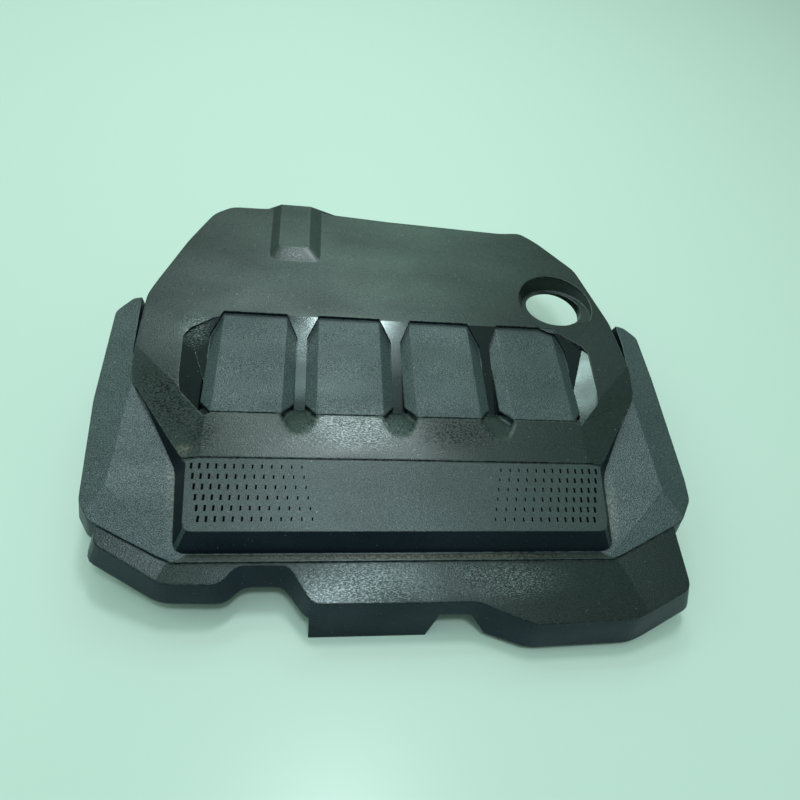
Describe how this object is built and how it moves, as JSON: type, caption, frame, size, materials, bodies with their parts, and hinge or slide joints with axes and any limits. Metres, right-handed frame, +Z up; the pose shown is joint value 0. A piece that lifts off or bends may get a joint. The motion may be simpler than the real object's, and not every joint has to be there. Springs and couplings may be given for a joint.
{
  "type": "engine cover",
  "caption": "Moulded engine cover with a row of sunk pads, a dotted front strip, an oil-filler opening, drafted skirts, rubber ball sockets and a sound pad underneath.",
  "frame": {"origin": "centre of the cover's bounding box in plan, at the plane it stands on", "axes": "+Z up out of the engine, +X along the row of pads towards the filler opening's side, +Y from the front skirt to the rear edge"},
  "size_m": [0.5314, 0.4399, 0.0895],
  "materials": {
    "moulded_plastic": "grained matte with glossy recess floors",
    "socket_rubber": "matte",
    "sound_foam": "matte felted foam",
    "washer_steel": "zinc-plated"
  },
  "bodies": {
    "root": {"cover_shell": "moulded_plastic", "front_left_socket": "socket_rubber", "front_right_socket": "socket_rubber", "rear_left_socket": "socket_rubber", "rear_right_socket": "socket_rubber", "sound_pad": "sound_foam", "washer_front_left": "washer_steel", "washer_front_middle": "washer_steel", "washer_front_right": "washer_steel", "washer_rear_left": "washer_steel", "washer_rear_middle": "washer_steel", "washer_rear_right": "washer_steel"}
  },
  "joints": []
}
